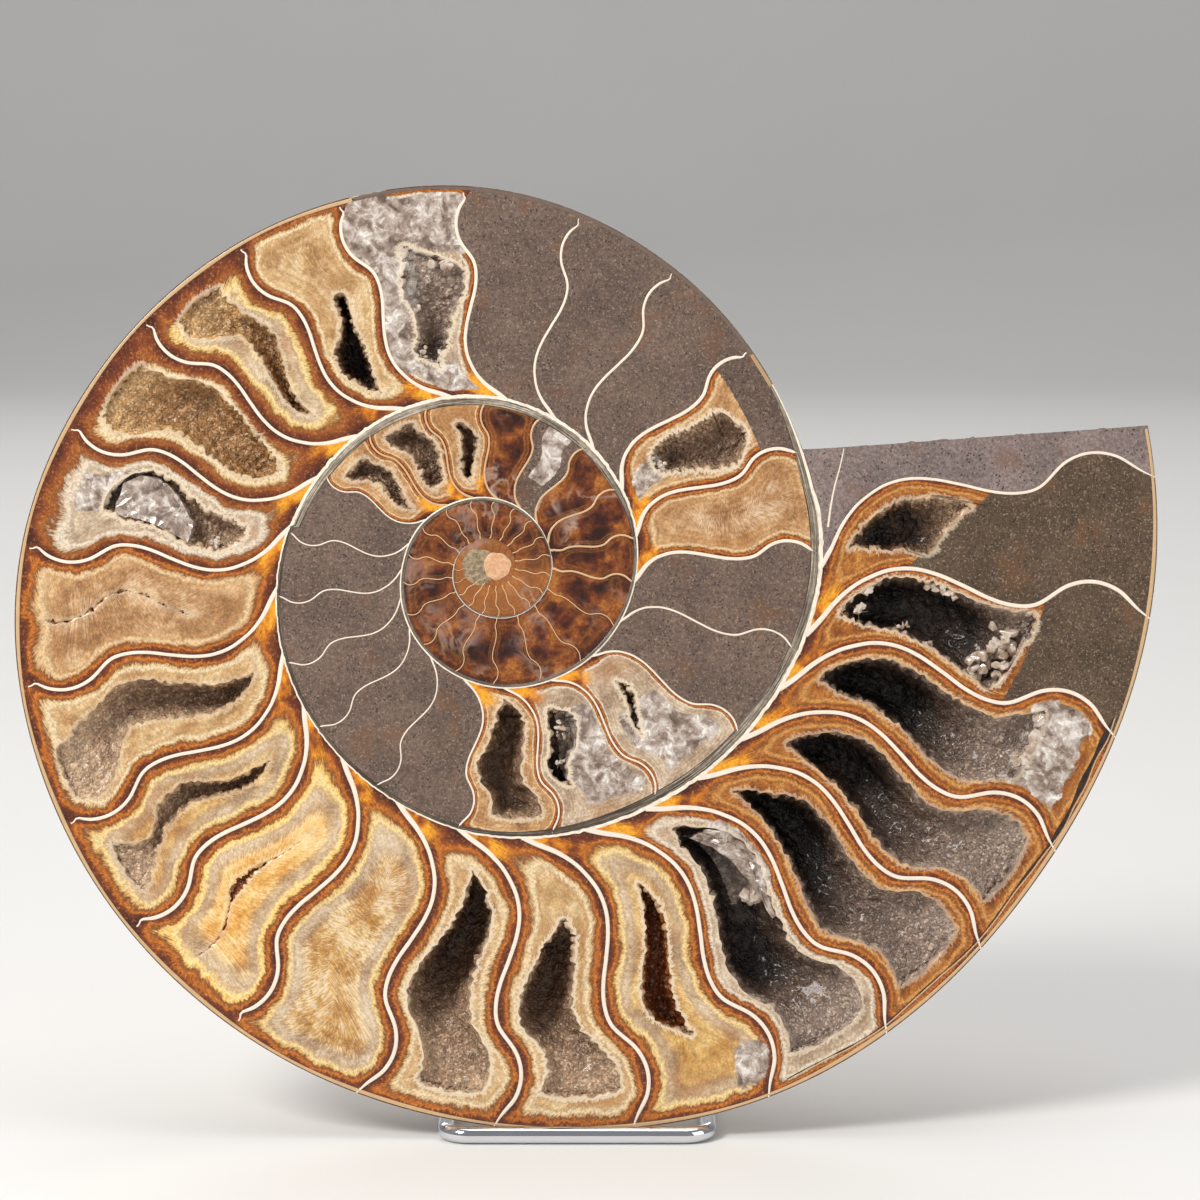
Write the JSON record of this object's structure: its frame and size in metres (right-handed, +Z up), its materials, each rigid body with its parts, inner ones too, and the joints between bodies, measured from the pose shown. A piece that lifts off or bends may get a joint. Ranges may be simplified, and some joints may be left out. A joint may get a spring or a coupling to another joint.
{
  "type": "polished ammonite half on a rod stand",
  "caption": "Cut and polished half of a large coiled ammonite with crystal-lined chambers, leaning in a bent chrome rod display stand.",
  "frame": {"origin": "middle of the bounding box on the surface that the stand rests on", "axes": "+Z up, +X across the cut face toward the shell's mouth, the cut face looks toward -Y and leans back 8 degrees"},
  "size_m": [0.2283, 0.0644, 0.1891],
  "materials": {
    "fossil_stone": "polished cut face, waxed natural back",
    "crystal": "rough crystal druse",
    "chrome": "bright plated rod"
  },
  "bodies": {
    "root": {"ammonite": "fossil_stone", "crystal_crust_01": "crystal", "crystal_crust_02": "crystal", "crystal_crust_03": "crystal", "crystal_crust_04": "crystal", "crystal_crust_05": "crystal", "crystal_crust_06": "crystal", "crystal_crust_07": "crystal", "crystal_crust_08": "crystal", "crystal_crust_09": "crystal", "crystal_crust_10": "crystal", "crystal_crust_11": "crystal", "crystal_crust_12": "crystal", "crystal_crust_13": "crystal", "crystal_crust_14": "crystal", "crystal_crust_15": "crystal", "crystal_crust_16": "crystal", "crystal_crust_17": "crystal", "crystal_crust_18": "crystal", "crystal_crust_19": "crystal", "crystal_crust_20": "crystal", "crystal_crust_21": "crystal", "crystal_crust_22": "crystal", "crystal_crust_23": "crystal", "display_stand": "chrome"}
  },
  "joints": []
}
